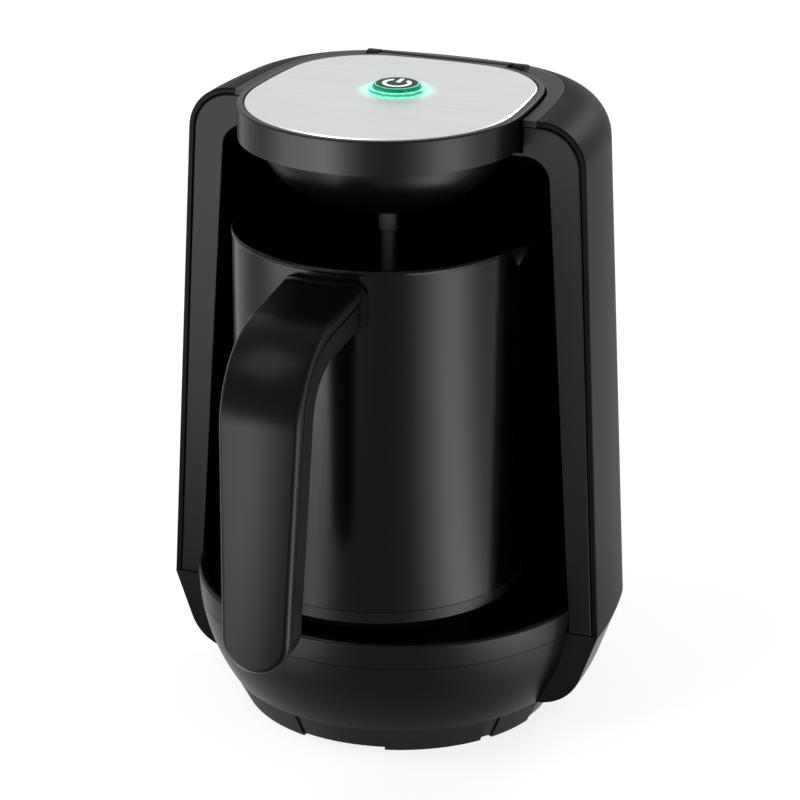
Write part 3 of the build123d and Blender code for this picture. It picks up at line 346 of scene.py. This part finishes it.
class COFFEE_OT_head_finish(bpy.types.Operator):
    """Give the hinged head, its metal plate and its button their finish"""

    bl_idname = "coffee.head_finish"
    bl_label = "Head Finish"

    def execute(self, context):
        """Build the head's materials and assign them."""
        finish = context.scene.coffee_finish
        plastic, gloss = finish.plastic_colour, finish.plastic_gloss
        head = grained("satin black head", plastic, 0.3, gloss * 1.3, FINE_GRAIN, SHALLOW)
        every_node(["head_housing"], head)
        dome = grained("satin black dome", plastic, 0.34, gloss, FINE_GRAIN, SHALLOW)
        every_node(["head_dome"], dome)
        every_node(["lid_plate"], self.plate(finish))
        every_node(["light_ring"], self.ring())
        every_node(["power_button"], self.cap())
        rod, _ = principled("satin steel rod", (0.36, 0.36, 0.37), 0.34, metallic=1.0)
        every_node(["probe_sleeve", "probe_rod"], rod)
        return {"FINISHED"}

    def cap(self):
        """Black cap whose clear rim carries the light of the ring, broken up by facets."""
        made, shader = principled("black cap with lit rim", (0.001, 0.016, 0.014), 0.3, specular=0.04)
        nodes, links = made.node_tree.nodes, made.node_tree.links
        rim = placed_group(
            made, "button light", button_light_group,
            Start=CAP_RIM_START, Reach=CAP_RIM_WIDTH, Sparkle=0.0,
        )
        facets = noise(nodes, links, object_place(nodes), 480.0, 1.0)
        shift = calculate(nodes, links, "MULTIPLY_ADD", facets, 0.6, -0.36)
        outward = calculate(nodes, links, "SUBTRACT", 1.0, rim.outputs["Nearness"])
        on_rim = calculate(nodes, links, "GREATER_THAN", outward, 0.02)
        uneven = calculate(nodes, links, "ADD", outward, shift, clamp=True)
        tone = light_ramp(
            nodes, links, calculate(nodes, links, "MULTIPLY", uneven, on_rim),
            (0.0, (0.0, 0.0, 0.0)), (0.06, (0.1, 0.5, 0.35)), (0.2, (0.4, 0.95, 0.75)),
            (0.5, (0.05, 0.45, 0.28)), (0.8, (0.0, 0.1, 0.06)), (1.0, (0.03, 0.36, 0.22)),
        )
        light_up(links, shader, tone)
        return made

    def plate(self, finish):
        """Satin metal, brushed from side to side, with the ring's light painted on it as a glow round
        the button.
        """
        colour = finish.plate_colour
        made, shader = principled("satin metal plate", colour, 0.38, metallic=1.0)
        nodes, links = made.node_tree.nodes, made.node_tree.links
        painted_light = placed_group(
            made, "button light", button_light_group,
            Start=PLATE_GLOW_START, Reach=PLATE_GLOW_REACH, Sparkle=0.4,
        )
        # painted light: the plate glows in the ring's colour near the button, a pool of light laid on
        # as emission
        light_up(
            links, shader,
            mixed_colour(nodes, links, painted_light.outputs["Glow"], (0.0, 0.0, 0.0), finish.painted_light_colour),
        )
        stretch = nodes.new("ShaderNodeMapping")
        stretch.inputs["Scale"].default_value = (14.0, 700.0, 1.0)
        links.new(object_place(nodes), stretch.inputs["Vector"])
        brushing = noise(nodes, links, stretch.outputs["Vector"], 1.0, 4.0)
        darker = [0.86 * part for part in colour]
        lighter = [1.06 * part for part in colour]
        tint = mixed_colour(nodes, links, brushing, darker, lighter)
        links.new(tint, shader.inputs["Base Color"])
        return made

    def ring(self):
        """Clear ring lit from below, brightest at its two edges and broken up by facets."""
        made, shader = principled("lit ring", (0.02, 0.3, 0.2), 0.2)
        nodes, links = made.node_tree.nodes, made.node_tree.links
        place = object_place(nodes)
        axes = nodes.new("ShaderNodeSeparateXYZ")
        links.new(place, axes.inputs["Vector"])
        rise = nodes.new("ShaderNodeMapRange")
        rise.inputs["From Min"].default_value = HIGH_PLATE.z
        rise.inputs["From Max"].default_value = HIGH_RING.z
        links.new(axes.outputs["Z"], rise.inputs["Value"])
        facets = noise(nodes, links, place, 520.0, 1.0)
        shift = calculate(nodes, links, "MULTIPLY_ADD", facets, 0.5, -0.25)
        tone = light_ramp(
            nodes, links, calculate(nodes, links, "ADD", rise.outputs["Result"], shift, clamp=True),
            (0.0, (0.45, 1.0, 0.8)), (0.25, (0.01, 0.2, 0.11)),
            (0.7, (0.0, 0.16, 0.09)), (1.0, (0.3, 0.9, 0.65)),
        )
        light_up(links, shader, tone)
        return made


class COFFEE_OT_pot_finish(bpy.types.Operator):
    """Give the pot and its handle their finish"""

    bl_idname = "coffee.pot_finish"
    bl_label = "Pot Finish"

    def execute(self, context):
        """Build the pot's materials and assign them."""
        finish = context.scene.coffee_finish
        plastic, gloss = finish.plastic_colour, finish.plastic_gloss
        pot, _ = principled("gloss black enamel", finish.pot_colour, 0.2, specular=gloss)
        every_node(["pot_vessel"], pot)
        base = grained("satin black pot base", plastic, 0.3, gloss, FINE_GRAIN, SHALLOW)
        every_node(["pot_base_cover"], base)
        handle = grained("satin black handle", plastic, 0.3, gloss * 0.75, FINE_GRAIN, SHALLOW)
        every_node(["handle_inner", "handle_collar"], handle)
        every_node(["handle_cover"], self.crowned(handle))
        return {"FINISHED"}

    def crowned(self, handle):
        """The handle's finish, shaded as if its outer face were a little rounded across."""
        made = handle.copy()
        made.name = "satin black crowned handle"
        nodes, links = made.node_tree.nodes, made.node_tree.links
        low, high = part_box("handle_cover")
        axes = nodes.new("ShaderNodeSeparateXYZ")
        links.new(object_place(nodes), axes.inputs["Vector"])
        aside = calculate(nodes, links, "SUBTRACT", axes.outputs["X"], (low.x + high.x) / 2)
        square = calculate(nodes, links, "MULTIPLY", aside, aside)
        fall = -HANDLE_CROWN * 4 / (high.x - low.x) ** 2
        crown = nodes.new("ShaderNodeBump")
        crown.inputs["Distance"].default_value = 1.0
        links.new(calculate(nodes, links, "MULTIPLY", square, fall), crown.inputs["Height"])
        links.new(crown.outputs["Normal"], nodes["Bump"].inputs["Normal"])
        return made


class COFFEE_OT_inside_finish(bpy.types.Operator):
    """Give the screws and the parts inside the stand, the head and the pot their finish"""

    bl_idname = "coffee.inside_finish"
    bl_label = "Inside Finish"

    def execute(self, context):
        """Build the inner materials and assign them."""
        for name, colour, roughness, metallic, nodes in (
            ("satin steel", (0.3, 0.3, 0.3), 0.35, 1.0,
             ("hinge_pin", "base_screws", "control_board_screws", "head_board_screws",
              "probe_nut", "pot_base_screws", "handle_screws", "heating_element")),
            ("blackened steel", (0.03, 0.03, 0.03), 0.45, 1.0, ("head_screws",)),
            ("dark plastic", (0.02, 0.02, 0.02), 0.5, 0.0,
             ("base_connector", "pot_connector", "relay", "button_switch", "thermal_cutout")),
            ("brass contact", (0.75, 0.52, 0.2), 0.25, 1.0, ("contact_rings", "pot_contacts")),
            ("green board", (0.02, 0.14, 0.06), 0.4, 0.0, ("control_board", "head_board")),
            ("blue sleeve", (0.02, 0.03, 0.12), 0.4, 0.0, ("capacitor",)),
            ("clear lens", (0.8, 0.85, 0.8), 0.2, 0.0, ("status_leds",)),
            ("cast aluminium", (0.6, 0.6, 0.6), 0.45, 1.0, ("heating_plate",)),
        ):
            made, _ = principled(name, colour, roughness, metallic=metallic)
            every_node(nodes, made)
        return {"FINISHED"}


# ---------------------------------------------------------------- button
class COFFEE_OT_button_spring(bpy.types.Operator):
    """Add the soft spring that gives way under the button"""

    bl_idname = "coffee.button_spring"
    bl_label = "Button Spring"

    def execute(self, context):
        """Copy the spring, close its mesh, give it white silicone and attach it to the head in place
        of the original.
        """
        spring = bpy.data.objects.new("soft_button_spring", NODES["button_spring"].data.copy())
        context.scene.collection.objects.link(spring)
        bpy.ops.object.select_all(action="DESELECT")
        context.view_layer.objects.active = spring
        spring.select_set(True)
        bpy.ops.object.mode_set(mode="EDIT")
        bpy.ops.mesh.select_all(action="SELECT")
        bpy.ops.mesh.remove_doubles(threshold=1e-6)
        bpy.ops.object.mode_set(mode="OBJECT")
        silicone, _ = principled("white silicone", (0.6, 0.6, 0.58), 0.5)
        spring.data.materials.clear()
        spring.data.materials.append(silicone)
        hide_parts("button_spring")
        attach(spring, "head")
        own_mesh(spring)
        return {"FINISHED"}


class COFFEE_OT_power_symbol(bpy.types.Operator):
    """Print the power symbol on the button's cap"""

    bl_idname = "coffee.power_symbol"
    bl_label = "Power Symbol"

    # half the angle of the ring's gap, in degrees, and the bar's length and middle as shares
    # of the ring's radius
    gap = 33
    bar_length = 0.95
    bar_middle = 0.62

    def execute(self, context):
        """Model an open ring and a bar, and lay them on the cap."""
        finish = context.scene.coffee_finish
        outer, stroke = finish.symbol_radius, finish.symbol_stroke
        centre = Vector((BUTTON_CENTRE.x, BUTTON_CENTRE.y, HIGH_BUTTON.z))
        bpy.ops.object.select_all(action="DESELECT")
        bpy.ops.mesh.primitive_circle_add(vertices=96, radius=outer, location=centre)
        symbol = context.object
        symbol.name = "power_symbol"
        bpy.ops.object.mode_set(mode="EDIT")
        bpy.ops.mesh.extrude_edges_move()
        inner = (outer - stroke) / outer
        bpy.ops.transform.resize(value=(inner, inner, 1.0), center_override=centre)
        self.open_ring(symbol)
        self.add_bar(symbol, centre, outer, stroke)
        bpy.ops.mesh.select_all(action="SELECT")
        bpy.ops.mesh.normals_make_consistent(inside=False)
        bpy.ops.mesh.extrude_region_move(TRANSFORM_OT_translate={"value": (0, 0, PRINT_THICKNESS)})
        bpy.ops.mesh.select_all(action="SELECT")
        bpy.ops.mesh.normals_make_consistent(inside=False)
        bpy.ops.object.mode_set(mode="OBJECT")
        bpy.ops.object.transform_apply(location=True, rotation=True, scale=True)
        print_with_painted_glow, shader = principled("white print", (0.85, 0.9, 0.88), 0.5)
        # painted light: the white print is given a faint teal glow in the ring's colour
        shader.inputs["Emission Color"].default_value = (0.7, 1.0, 0.9, 1.0)
        shader.inputs["Emission Strength"].default_value = 0.25
        symbol.data.materials.append(print_with_painted_glow)
        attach(symbol, "button")
        return {"FINISHED"}

    def open_ring(self, symbol):
        """Take the ring's part towards the rear away."""
        bpy.ops.mesh.select_all(action="DESELECT")
        sheet = bmesh.from_edit_mesh(symbol.data)
        for face in sheet.faces:
            middle = face.calc_center_median()
            if abs(degrees(atan2(middle.x, middle.y))) < self.gap:
                face.select_set(True)
        bmesh.update_edit_mesh(symbol.data)
        bpy.ops.mesh.delete(type="FACE")

    def add_bar(self, symbol, centre, outer, stroke):
        """Add the bar in the ring's gap."""
        bpy.ops.mesh.select_all(action="DESELECT")
        middle = Vector((0, outer * self.bar_middle, 0))
        bpy.ops.mesh.primitive_plane_add(size=1.0, location=centre + middle)
        shape = Matrix.Diagonal((stroke, outer * self.bar_length, 1.0)).to_4x4()
        sheet = bmesh.from_edit_mesh(symbol.data)
        for vertex in sheet.verts:
            if vertex.select:
                vertex.co = shape @ (vertex.co - middle) + middle
        bmesh.update_edit_mesh(symbol.data)


# ---------------------------------------------------------------- stage
class COFFEE_OT_stage(bpy.types.Operator):
    """Add the floor, the lights and the camera"""

    bl_idname = "coffee.stage"
    bl_label = "Stage"

    # how much of the floor's own white is seen directly, and how bright that white is
    floor_share = 0.72
    floor_white = 1.15

    # each softbox: its name, place, width and height, and brightness; all face one target
    softboxes = (
        ("key softbox", (-0.65, -0.75, 1.6), (0.9, 0.9), 4.0),
        ("back softbox", (0.5, 1.3, 0.8), (0.55, 0.5), 6.5),
    )
    softbox_target = (0, 0, 0.12)

    # side and height of the low reflector, and each of its soft beams: degrees from the front,
    # sharpness, brightness, and the distances at which it starts and is full
    reflector_size = 3.0
    reflector_height = 0.001
    beams = (
        (72.0, 16.0, 11.5, 0.07, 0.17),
        (-24.0, 45.0, 7.0, 0.08, 0.14),
        (-22.0, 18.0, 11.0, 0.24, 0.56),
        (-52.0, 24.0, 9.0, 0.34, 0.56),
        (128.0, 16.0, 1.5, 0.12, 0.3),
    )

    # the camera's place, its turn to the right, its tilt down and its roll in degrees, its lens
    # and sensor in millimetres, and its shift in shares of the sensor
    camera_place = (0.36829, -0.95819, 0.49543)
    camera_turn = 21.0246
    camera_tilt = 20.9236
    camera_roll = 0.2779
    lens = 148.543
    sensor = 36.0
    shift = (-0.00057, 0.00173)

    def execute(self, context):
        """Build the stage."""
        settings = context.scene.coffee_stage
        self.floor(context, settings.floor_size)
        self.world(context, settings.world_strength)
        for name, place, size, brightness in self.softboxes:
            self.softbox(context, name, place, size, brightness)
        self.low_reflector(context)
        self.camera(context)
        context.scene.view_settings.view_transform = "Standard"
        return {"FINISHED"}

    def seen_directly(self, nodes, links):
        """1 for rays from the camera, a mirror or glass, otherwise 0."""
        rays = nodes.new("ShaderNodeLightPath").outputs
        either = calculate(nodes, links, "MAXIMUM", rays["Is Camera Ray"], rays["Is Glossy Ray"])
        return calculate(nodes, links, "MAXIMUM", either, rays["Is Transmission Ray"])

    def sheet(self, context, name, finish, size, height):
        """A level square with a material of its own; returns the object and the material."""
        bpy.ops.object.select_all(action="DESELECT")
        bpy.ops.mesh.primitive_plane_add(size=size, location=(0, 0, height))
        sheet = context.object
        sheet.name = name
        made = bpy.data.materials.new(finish)
        made.use_nodes = True
        sheet.data.materials.append(made)
        return sheet, made

    def floor(self, context, size):
        """A plain white floor that keeps a light shadow."""
        floor, made = self.sheet(context, "floor", "white floor", size, 0)
        nodes, links = made.node_tree.nodes, made.node_tree.links
        shader = nodes["Principled BSDF"]
        shader.inputs["Base Color"].default_value = (0.9, 0.9, 0.9, 1.0)
        shader.inputs["Roughness"].default_value = 0.9
        shader.inputs["Specular IOR Level"].default_value = 0.0
        glow = nodes.new("ShaderNodeEmission")
        glow.inputs["Strength"].default_value = self.floor_white
        blend = nodes.new("ShaderNodeMixShader")
        share = calculate(nodes, links, "MULTIPLY", self.seen_directly(nodes, links), self.floor_share)
        links.new(share, blend.inputs["Fac"])
        links.new(shader.outputs["BSDF"], blend.inputs[1])
        links.new(glow.outputs["Emission"], blend.inputs[2])
        links.new(blend.outputs["Shader"], nodes["Material Output"].inputs["Surface"])

    def world(self, context, strength):
        """Even light all round, white where it is seen directly."""
        world = bpy.data.worlds.new("studio")
        context.scene.world = world
        world.use_nodes = True
        nodes, links = world.node_tree.nodes, world.node_tree.links
        sky = nodes["Background"]
        sky.inputs["Color"].default_value = (1.0, 1.0, 1.0, 1.0)
        direct = self.seen_directly(nodes, links)
        level = calculate(nodes, links, "MULTIPLY_ADD", direct, 1.0 - strength, strength)
        links.new(level, sky.inputs["Strength"])

    def low_reflector(self, context):
        """A soft light lying on the floor that only shapes the gloss of upright faces."""
        card, made = self.sheet(
            context, "low_reflector", "low reflector", self.reflector_size, self.reflector_height
        )
        nodes, links = made.node_tree.nodes, made.node_tree.links
        nodes.remove(nodes["Principled BSDF"])
        glow = nodes.new("ShaderNodeEmission")
        links.new(self.beam_light(nodes, links), glow.inputs["Strength"])
        clear = nodes.new("ShaderNodeBsdfTransparent")
        both = nodes.new("ShaderNodeAddShader")
        links.new(glow.outputs["Emission"], both.inputs[0])
        links.new(clear.outputs["BSDF"], both.inputs[1])
        links.new(both.outputs["Shader"], nodes["Material Output"].inputs["Surface"])
        card.visible_camera = card.visible_diffuse = card.visible_shadow = False
        card.visible_transmission = card.visible_volume_scatter = False

    def beam_light(self, nodes, links):
        """The light of all beams together at each place of the low reflector."""
        flat = laid_flat(nodes, links, object_place(nodes))
        distance = calculate_vector(nodes, links, "LENGTH", flat).outputs["Value"]
        heading = calculate_vector(nodes, links, "NORMALIZE", flat).outputs["Vector"]
        total = 0.0
        for turn, sharpness, brightness, start, full in self.beams:
            middle = (sin(radians(turn)), -cos(radians(turn)), 0.0)
            along = calculate_vector(nodes, links, "DOT_PRODUCT", heading, middle).outputs["Value"]
            facing = calculate(nodes, links, "MAXIMUM", along, 0.0)
            beam = calculate(nodes, links, "POWER", facing, sharpness)
            rise = nodes.new("ShaderNodeMapRange")
            rise.interpolation_type = "SMOOTHSTEP"
            rise.inputs["From Min"].default_value = start
            rise.inputs["From Max"].default_value = full
            rise.inputs["To Max"].default_value = brightness
            links.new(distance, rise.inputs["Value"])
            total = calculate(nodes, links, "MULTIPLY_ADD", beam, rise.outputs["Result"], total)
        return total

    def softbox(self, context, name, place, size, brightness):
        """A softbox at a place, facing the maker, of a given brightness."""
        width, height = size
        data = bpy.data.lights.new(name, "AREA")
        data.shape = "RECTANGLE"
        data.size = width
        data.size_y = height
        data.energy = brightness * 4 * width * height
        lamp = bpy.data.objects.new(name, data)
        context.scene.collection.objects.link(lamp)
        lamp.location = place
        facing = Vector(self.softbox_target) - Vector(place)
        lamp.rotation_euler = facing.to_track_quat("-Z", "Y").to_euler()
        lamp.visible_camera = False

    def camera(self, context):
        """The camera, which looks down at the maker from its front right."""
        data = bpy.data.cameras.new("camera")
        data.sensor_width = self.sensor
        data.lens = self.lens
        data.shift_x, data.shift_y = self.shift
        camera = bpy.data.objects.new("camera", data)
        context.scene.collection.objects.link(camera)
        turned = (
            Matrix.Rotation(radians(self.camera_turn), 4, "Z")
            @ Matrix.Rotation(radians(90 - self.camera_tilt), 4, "X")
            @ Matrix.Rotation(radians(self.camera_roll), 4, "Z")
        )
        camera.matrix_world = Matrix.Translation(self.camera_place) @ turned
        context.scene.camera = camera


# ---------------------------------------------------------------- panel and start
class COFFEE_PT_panel(bpy.types.Panel):
    """Settings and steps of the coffee maker"""

    bl_idname = "COFFEE_PT_panel"
    bl_label = "Coffee Maker"
    bl_space_type = "VIEW_3D"
    bl_region_type = "UI"
    bl_category = "Coffee Maker"

    def draw(self, context):
        """List the settings and the operators."""
        for group in (context.scene.coffee_finish, context.scene.coffee_stage):
            for name in group.bl_rna.properties.keys():
                if name not in ("rna_type", "name"):
                    self.layout.prop(group, name)
        for operator in PIECES:
            self.layout.operator(operator.bl_idname)


PIECES = (
    COFFEE_OT_stand_finish,
    COFFEE_OT_head_finish,
    COFFEE_OT_pot_finish,
    COFFEE_OT_inside_finish,
    COFFEE_OT_button_spring,
    COFFEE_OT_power_symbol,
    COFFEE_OT_stage,
)
CLASSES = (CoffeeMakerFinish, CoffeeMakerStage, *PIECES, COFFEE_PT_panel)


def register():
    """Add the classes and the settings to Blender."""
    for item in CLASSES:
        bpy.utils.register_class(item)
    bpy.types.Scene.coffee_finish = bpy.props.PointerProperty(type=CoffeeMakerFinish)
    bpy.types.Scene.coffee_stage = bpy.props.PointerProperty(type=CoffeeMakerStage)


def unregister():
    """Remove them again."""
    del bpy.types.Scene.coffee_stage
    del bpy.types.Scene.coffee_finish
    for item in reversed(CLASSES):
        bpy.utils.unregister_class(item)


def main():
    """Build every piece."""
    register()
    for operator in PIECES:
        getattr(bpy.ops.coffee, operator.bl_idname.split(".")[1])()


if __name__ == "__main__":
    main()
